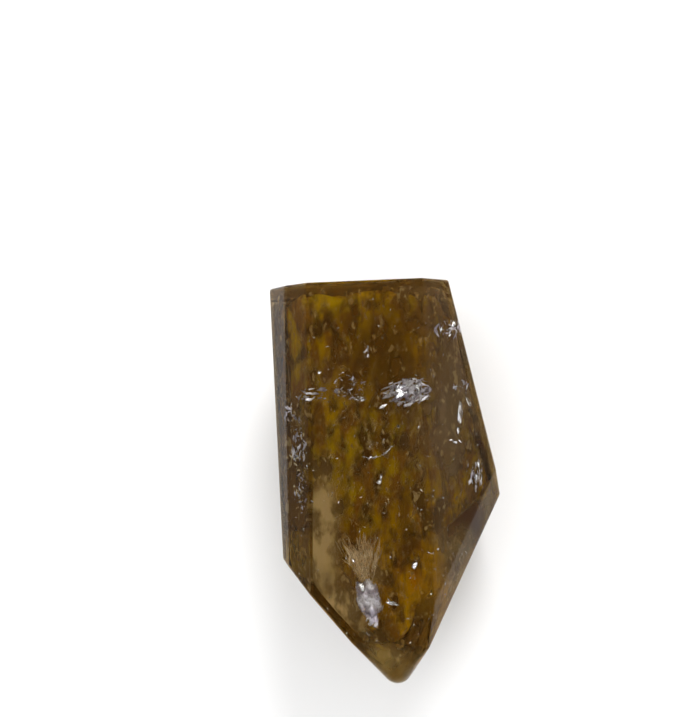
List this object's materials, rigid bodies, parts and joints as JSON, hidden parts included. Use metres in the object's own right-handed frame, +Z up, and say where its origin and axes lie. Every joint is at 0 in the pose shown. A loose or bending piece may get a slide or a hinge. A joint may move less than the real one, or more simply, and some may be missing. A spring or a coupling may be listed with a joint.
{
  "type": "citrine crystal point",
  "caption": "A smoky golden citrine crystal with a flat-sided prism, a sloped point and a flat sawn base, lying on one prism face.",
  "frame": {"origin": "on the resting surface, under the middle of the crystal's box", "axes": "+Z up, the long axis along Y with the point towards -Y"},
  "size_m": [0.04, 0.071, 0.037],
  "materials": {
    "citrine": "clear smoky golden quartz, polished by tumbling",
    "veil": "silvery healed fractures and fluid veils sealed in the quartz",
    "haze": "cloudy growth haze sealed in the quartz"
  },
  "bodies": {
    "root": {"crystal_point": "citrine"}
  },
  "joints": []
}
